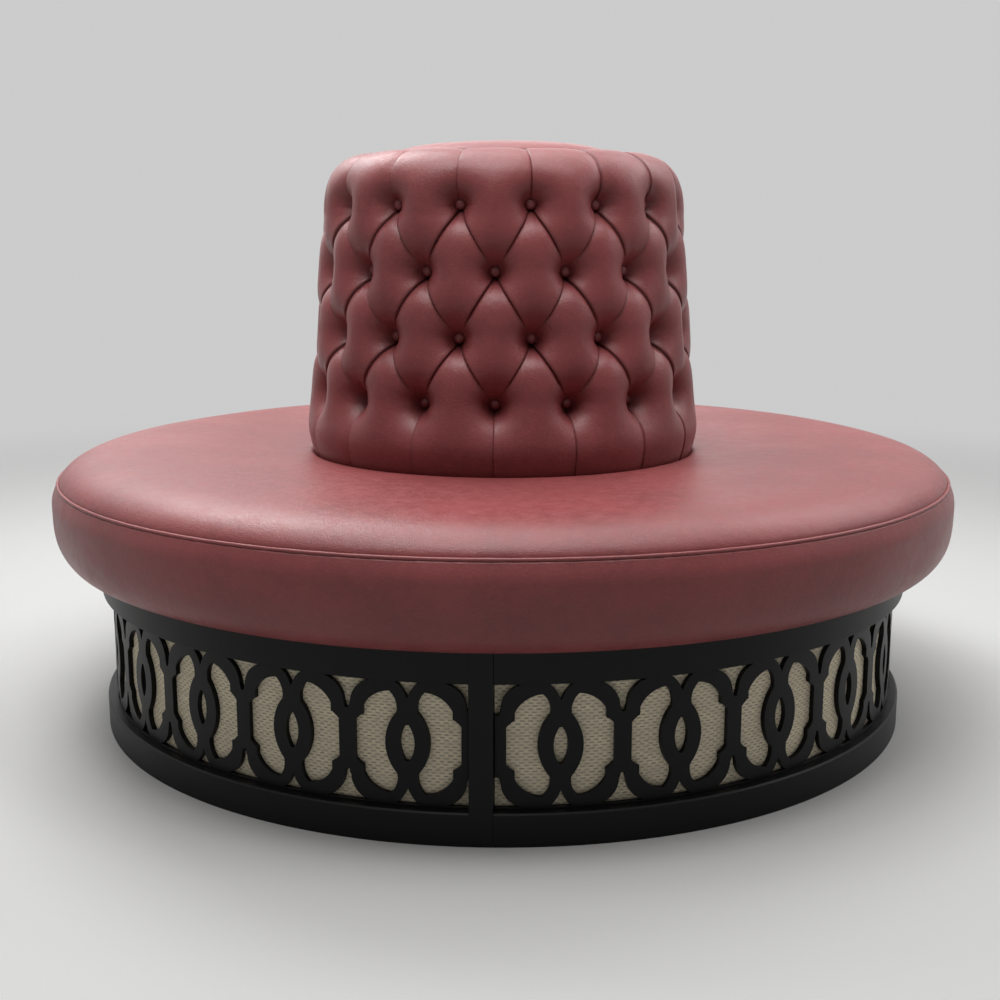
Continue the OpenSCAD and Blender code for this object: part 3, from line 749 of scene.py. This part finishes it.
def studs(name, blocks):
    """One mesh of several domed bodies, each given as rings of points from heel to crown."""
    rings, columns = blocks[0].shape[:2]
    verts, faces = [], []
    for block in blocks:
        start = len(verts)
        verts.extend(map(tuple, block.reshape(-1, 3) * MM))
        for j in range(rings - 1):
            low, high = start + j * columns, start + (j + 1) * columns
            for i in range(columns):
                n = (i + 1) % columns
                faces.append((low + i, low + n, high + n, high + i))
        faces.append(tuple(start + i for i in reversed(range(columns))))
        faces.append(tuple(start + (rings - 1) * columns + i for i in range(columns)))
    mesh = bpy.data.meshes.new(name)
    mesh.from_pydata(verts, [], faces)
    mesh.polygons.foreach_set("use_smooth", np.ones(len(faces), dtype=bool))
    mesh.update()
    return placed(name, mesh)


class BENCH_OT_cap(bpy.types.Operator):
    """Domed leather cap on top of the back, over its pad"""

    bl_idname = "bench.cap"
    bl_label = "Cap"

    def execute(self, context):
        look = context.scene.bench_look
        radius, edge, top, skirt, board = 194.0, 984.0, 1008.0, 968.5, 974.6
        share = np.sin(np.linspace(0.0, pi / 2, 40)[1:]) ** 0.85
        share = np.concatenate([[0.0012, 0.004], share])
        dome = np.stack(
            [radius * share, edge + (top - edge) * np.sqrt(1.0 - share**3)], axis=1
        )[::-1]
        wall = np.stack([np.full(6, radius), np.linspace(skirt + 4.0, edge - 2.0, 6)], axis=1)
        under = [(reach, board) for reach in (0.3, 60.0, 120.0, 184.0)]
        hem = [(189.0, 974.4), (192.2, 974.0), (192.2, skirt), (193.4, skirt - 0.6)]
        profile = np.concatenate([under, hem, [(radius, skirt + 1.0)], wall, dome])
        angles = np.linspace(0.0, tau, 256, endpoint=False)
        out = (profile[:, 1] > edge - 1.0) * np.clip(profile[:, 0] / radius, 0.0, 1.0)
        sway = 0.5 * np.sin(3.0 * angles + 0.7) + 0.35 * np.sin(7.0 * angles + 2.1)
        near = np.exp(-(((profile[:, 0] - radius) / 16.0) ** 2)) * (profile[:, 1] > edge - 4.0)
        pucker = np.sin(64.0 * angles) * 0.16
        lift = out[:, None] * 0.5 * sway[None, :] + near[:, None] * pucker[None, :]
        shift = np.stack([0.0 * lift, lift], axis=-1)
        piece = turned("cap_dome", around(profile, angles, shift))
        cap_leather = finish_of("leather_cap", leather_recipe(look, shade_creases=False))
        dress(piece, cap_leather, "leather", "cap_cover", "cap_pad")
        return {"FINISHED"}


# Seat


def crown(seat, count):
    """Top of the seat from the seam inward to the back, as (radius, height)."""
    rim = seat.seam + seat.piping / 2 - SEAM_BITE
    flatness, roundness, sink = 5.4, 0.7, 6.0
    turn = np.linspace(0.0, pi / 2, count)
    share = np.cos(turn)
    outer = np.stack(
        [
            seat.crest_radius + share * (seat.seam_radius - seat.crest_radius),
            rim + (seat.crest - rim) * np.maximum(0.0, 1.0 - share**flatness) ** roundness,
        ],
        axis=1,
    )
    share = 1.0 - (1.0 - np.linspace(0.0, 1.0, count)[1:]) ** 1.6
    inner = np.stack(
        [
            seat.crest_radius - share * (seat.crest_radius - seat.inner),
            seat.crest - seat.fall * share**1.6 - sink * ease(share, 0.95, 1.0) ** 2,
        ],
        axis=1,
    )
    return np.concatenate([outer, inner])


def side(seat, count):
    """Side of the seat from its hem under the edge up to the seam, as (radius, height)."""
    base, inner, hem = 289.0, 700.5, 728.0
    roll, under = 0.9, 0.6
    start = seat.seam_radius + 4.5
    turn = np.linspace(pi / 2, 0.0, count)
    lower = np.stack(
        [
            hem + (seat.radius - hem) * np.cos(turn) ** roll,
            seat.widest - (seat.widest - base) * np.sin(turn) ** under,
        ],
        axis=1,
    )
    top = seat.seam - seat.piping / 2 + SEAM_BITE
    share = np.linspace(1.0, 0.0, count // 2)[1:]
    upper = np.stack(
        [
            start + (seat.radius - start) * np.sin(share * pi / 2),
            top - (top - seat.widest) * share,
        ],
        axis=1,
    )
    return np.concatenate([[(inner, base)], lower, upper])


def inset(profile, depth):
    """A profile moved inward by a depth."""
    return profile - depth * normals_of(profile)


class BENCH_OT_seat(bpy.types.Operator):
    """Ring seat: crowned top over its foam, and the rolled side cover"""

    bl_idname = "bench.seat"
    bl_label = "Seat"

    def execute(self, context):
        seat, look = context.scene.bench_seat, context.scene.bench_look
        leather = finish_of("leather_seat", leather_recipe(look, shade_creases=False))
        angles = np.linspace(0.0, tau, COLUMNS, endpoint=False)
        band = side(seat, 26)
        top = crown(seat, 34)
        deck_top, hole, rebate = 309.0, 303.2, 449.6
        core = inset(band, 2.0)[3:]
        core = core[core[:, 1] > deck_top + 0.5]
        deck = np.array([(hole, deck_top), (500.0, deck_top), (722.6, deck_top)])
        bore = np.array([(342.2, 453.0), (339.0, rebate), (hole, rebate), (hole, 376.0)])
        profile = np.concatenate([deck, core, top, bore])
        rise = np.zeros((len(profile), len(angles)))
        first = len(deck) + len(core)
        radius = top[:, :1]
        sway = (
            0.55 * np.sin(2.0 * angles + 0.6 + radius / 210.0)
            + 0.45 * np.sin(5.0 * angles - radius / 150.0)
            + 0.25 * np.sin(11.0 * angles + 1.3 + radius / 95.0)
        )
        edge = ease(seat.seam_radius - radius, 0.0, 60.0) * ease(radius - seat.inner, 0.0, 40.0)
        pucker = np.exp(-(seat.seam_radius - radius) / 9.0) * np.sin(STITCHES * angles) * 0.22
        rise[first : first + len(top)] = 1.1 * sway * edge + pucker
        shift = np.stack([0.0 * rise, rise], axis=-1)
        cushion = turned("seat_cushion", around(profile, angles, shift))
        dress(cushion, leather, "leather", "seat_top_cover", "seat_foam")

        out = normals_of(band)
        height = band[:, 1:]
        swell = (
            0.5 * np.sin(4.0 * angles + height / 33.0)
            + 0.4 * np.sin(9.0 * angles + 2.2)
            + 0.3 * np.sin(17.0 * angles - height / 21.0)
        )
        hold = ease(height, 292.0, 330.0) * (1.0 - ease(height, 395.0, 425.0))
        tuck = np.exp(-(seat.seam - height) / 8.0) * np.sin(STITCHES * angles) * 0.2
        move = (0.9 * swell * hold + tuck)[..., None] * out[:, None, :]
        outside = around(band, angles, move)
        lining = around(inset(band, 1.5)[::-1], angles, move[::-1])
        cover = turned("seat_side_band", np.concatenate([outside, lining]))
        dress(cover, leather, "leather", "seat_side_cover")
        return {"FINISHED"}


class BENCH_OT_piping(bpy.types.Operator):
    """Leather piping round the edge of the seat"""

    bl_idname = "bench.piping"
    bl_label = "Piping"

    def execute(self, context):
        seat, look = context.scene.bench_seat, context.scene.bench_look
        angles = np.linspace(0.0, tau, COLUMNS, endpoint=False)
        turn = np.linspace(-pi / 2, 1.5 * pi, 20, endpoint=False)
        bead = seat.piping / 2
        middle = seat.seam_radius + seat.piping * 0.42
        profile = np.stack([middle + bead * np.cos(turn), seat.seam + bead * np.sin(turn)], axis=1)
        out = np.stack([np.cos(turn), np.sin(turn)], axis=1)
        wobble = 0.12 * np.sin(90.0 * angles) + 0.1 * np.sin(41.0 * angles + 1.0)
        shift = out[:, None, :] * wobble[None, :, None]
        piece = turned("seat_piping_bead", around(profile, angles, shift))
        leather = finish_of("leather_piping", leather_recipe(look, shade_creases=False))
        dress(piece, leather, "leather", "seat_piping")
        return {"FINISHED"}


# Base


class BENCH_OT_lacquer(bpy.types.Operator):
    """Black lacquer on plinths, posts, rails and fretwork"""

    bl_idname = "bench.lacquer"
    bl_label = "Lacquered base"

    def execute(self, context):
        lacquer = finish_of("black_lacquer", lacquer_recipe(context.scene.bench_look))
        for kind in ("plinth", "post", "top_rail", "fretwork"):
            for k in range(1, SECTORS + 1):
                repaint(frame["nodes"][f"{kind}_{k}"], lacquer)
        return {"FINISHED"}


def repaint(node, material):
    """Gives a CAD node one material all over."""
    node.data.materials.clear()
    node.data.materials.append(material)


class BENCH_OT_panels(bpy.types.Operator):
    """Woven fabric stretched over the boards behind the fretwork"""

    bl_idname = "bench.panels"
    bl_label = "Woven panels"

    def execute(self, context):
        look = context.scene.bench_look
        weave = finish_of("woven_fabric", weave_recipe(look))
        outer, inner, low, high = 702.8, 701.6, 50.0, 240.0
        margin, play = 1.5, 0.3
        arc = radians(90.0 - 2 * margin)
        for k in range(SECTORS):
            start = k * pi / 2 + radians(margin)
            angles = np.linspace(start, start + arc, 180)
            z = np.linspace(low + play, high - play, 40)
            face = around(np.stack([np.full_like(z, outer), z], axis=1), angles)
            lining = around(np.stack([np.full_like(z, inner), z], axis=1), angles)
            piece = sheet_mesh(f"woven_cloth_{k + 1}", face, lining)
            dress(piece, weave, "woven_fabric", f"woven_panel_{k + 1}")
        return {"FINISHED"}


def sheet_mesh(name, face, lining):
    """Closed thin sheet between a front and a back grid of points."""
    rows, columns = face.shape[:2]
    verts = np.concatenate([face.reshape(-1, 3), lining.reshape(-1, 3)]) * MM
    back = rows * columns
    faces = []
    for j in range(rows - 1):
        for i in range(columns - 1):
            a = j * columns + i
            ring = (a, a + 1, a + columns + 1, a + columns)
            faces.append(ring)
            faces.append(tuple(back + q for q in reversed(ring)))
    border = (
        [i for i in range(columns)]
        + [j * columns + columns - 1 for j in range(1, rows)]
        + [(rows - 1) * columns + i for i in range(columns - 2, -1, -1)]
        + [j * columns for j in range(rows - 2, 0, -1)]
    )
    for a, b in zip(border, border[1:] + border[:1]):
        faces.append((b, a, back + a, back + b))
    mesh = bpy.data.meshes.new(name)
    mesh.from_pydata(verts.tolist(), [], faces)
    mesh.update()
    return placed(name, mesh)


class BENCH_OT_inside(bpy.types.Operator):
    """Plywood carcass, foam layer, bolts and screws inside the bench"""

    bl_idname = "bench.inside"
    bl_label = "Inside"

    def execute(self, context):
        finishes = {
            "plywood": finish_of("birch_plywood", plywood_recipe),
            "foam": finish_of("upholstery_foam", foam_recipe),
            "steel": finish_of("zinc_steel", steel_recipe),
        }
        for part in frame["record"]["subparts"]:
            if part["material_slot"] in finishes:
                repaint(frame["nodes"][part["node"]], finishes[part["material_slot"]])
        return {"FINISHED"}


# Stage

FLOOR_RADIUS = 40.0
FADE = (1.5, 4.2)  # where the floor starts and ends to melt into the backdrop, m from the axis
AIM = (0.0, 0.0, 0.5)  # where all lamps point
# Name, place, diameter and power of each lamp
LAMPS = (
    ("front_left", (-1.7, -2.5, 3.5), 1.8, 5.0),
    ("front_top", (-0.3, -1.4, 3.8), 1.6, 57.0),
    ("left_top", (-1.3, -0.7, 3.7), 1.5, 29.0),
    ("right_top", (1.2, -0.9, 3.7), 1.5, 37.0),
    ("over", (-0.2, 0.5, 3.7), 2.4, 52.0),
    ("over_back", (0.0, 1.4, 3.5), 1.8, 9.0),
    ("high_left", (-1.5, 1.6, 3.0), 1.6, 54.0),
    ("high_right", (1.5, 1.6, 3.0), 1.6, 18.0),
    ("back", (0.0, 3.4, 2.2), 2.0, 10.0),
    ("low_left", (-2.0, 2.7, 1.9), 1.9, 7.0),
    ("side_left", (-3.0, -0.3, 2.2), 1.4, 1.7),
    ("side_right", (3.0, 0.0, 2.2), 1.4, 13.0),
    ("left_back", (-2.4, 1.2, 2.6), 1.6, 9.0),
    ("right_back", (2.4, 1.2, 2.6), 1.6, 18.5),
)


def backdrop_rays(tree):
    """1 for the rays that show the backdrop: from the camera, off gloss and through glass."""
    kinds = ("Is Camera Ray", "Is Glossy Ray", "Is Transmission Ray")
    camera, glossy, through = (
        Wire.node(tree, "ShaderNodeLightPath", output=kind) for kind in kinds
    )
    return camera.math("MAXIMUM", glossy.math("MAXIMUM", through))


def floor_finish(stage):
    """Pale floor that melts into the backdrop away from the bench, without lighting it."""
    material = bpy.data.materials.new("pale_floor")
    tree = emptied(material)
    place = Wire.node(tree, "ShaderNodeTexCoord", output="Object")
    cloud = noise(tree, place, 1.3, 3.0)
    colour = cloud.mix(tone(stage.floor, 0.985), tone(stage.floor, 1.015))
    near = {"Base Color": colour, "Roughness": 0.75}
    near = Wire.node(tree, "ShaderNodeBsdfPrincipled", None, near)
    far = {"Color": (1, 1, 1, 1), "Strength": stage.backdrop}
    far = Wire.node(tree, "ShaderNodeEmission", None, far)
    away = Wire.node(
        tree, "ShaderNodeVectorMath", {"operation": "LENGTH"}, {0: place}, "Value"
    )
    share = away.ease(*FADE) * backdrop_rays(tree)
    mixed = Wire.node(tree, "ShaderNodeMixShader", None, {0: share, 1: near, 2: far})
    Wire.node(tree, "ShaderNodeOutputMaterial", None, {"Surface": mixed})
    return material


class BENCH_OT_stage(bpy.types.Operator):
    """Pale floor, soft lamps and the camera"""

    bl_idname = "bench.stage"
    bl_label = "Stage"

    def execute(self, context):
        stage = context.scene.bench_stage
        context.scene.view_settings.view_transform = "Standard"
        mesh = bpy.data.meshes.new("floor")
        turn = np.linspace(0.0, tau, 96)[:-1]
        ring = [(FLOOR_RADIUS * cos(t), FLOOR_RADIUS * sin(t), 0.0) for t in turn]
        mesh.from_pydata(ring, [], [tuple(range(len(ring)))])
        floor = placed("floor", mesh)
        mesh.materials.append(floor_finish(stage))

        world = bpy.data.worlds.new("studio")
        context.scene.world = world
        tree = emptied(world)
        shown = {"Color": (1, 1, 1, 1), "Strength": stage.backdrop}
        light = {"Color": (1, 1, 1, 1), "Strength": stage.ambient}
        shown = Wire.node(tree, "ShaderNodeBackground", None, shown)
        light = Wire.node(tree, "ShaderNodeBackground", None, light)
        seen = backdrop_rays(tree)
        mixed = Wire.node(tree, "ShaderNodeMixShader", None, {0: seen, 1: light, 2: shown})
        Wire.node(tree, "ShaderNodeOutputWorld", None, {"Surface": mixed})

        for name, place, size, watts in LAMPS:
            lamp = bpy.data.lights.new(name, "AREA")
            lamp.shape = "DISK"
            lamp.size = size
            lamp.energy = watts
            holder = placed(name, lamp)
            holder.location = place
            aim = np.array(AIM) - np.array(place)
            holder.rotation_euler = (
                float(np.arccos(-aim[2] / np.linalg.norm(aim))),
                0.0,
                float(np.arctan2(aim[1], aim[0]) - pi / 2),
            )

        camera = bpy.data.cameras.new("camera")
        camera.lens = stage.lens
        camera.sensor_width = 36.0
        stand = placed("camera", camera)
        stand.location = stage.camera_place
        stand.rotation_euler = (stage.camera_pitch, 0.0, stage.camera_turn)
        context.scene.camera = stand
        return {"FINISHED"}


class BENCH_PT_panel(bpy.types.Panel):
    """Lists the steps that dress the bench"""

    bl_label = "Round bench"
    bl_idname = "BENCH_PT_panel"
    bl_space_type = "VIEW_3D"
    bl_region_type = "UI"
    bl_category = "Bench"

    def draw(self, context):
        for step in STEPS:
            self.layout.operator(step.bl_idname)


GROUPS = {
    "bench_back": BENCH_PG_back,
    "bench_seat": BENCH_PG_seat,
    "bench_look": BENCH_PG_look,
    "bench_stage": BENCH_PG_stage,
}
STEPS = (
    BENCH_OT_stage,
    BENCH_OT_lacquer,
    BENCH_OT_panels,
    BENCH_OT_seat,
    BENCH_OT_piping,
    BENCH_OT_back,
    BENCH_OT_buttons,
    BENCH_OT_cap,
    BENCH_OT_inside,
)


def register():
    for group in GROUPS.values():
        bpy.utils.register_class(group)
    for name, group in GROUPS.items():
        setattr(bpy.types.Scene, name, bpy.props.PointerProperty(type=group))
    for step in (*STEPS, BENCH_PT_panel):
        bpy.utils.register_class(step)


def unregister():
    for step in (*STEPS, BENCH_PT_panel):
        bpy.utils.unregister_class(step)
    for name, group in GROUPS.items():
        delattr(bpy.types.Scene, name)
        bpy.utils.unregister_class(group)


def main():
    register()
    for step in STEPS:
        family, name = step.bl_idname.split(".")
        getattr(getattr(bpy.ops, family), name)()


if __name__ == "__main__":
    main()
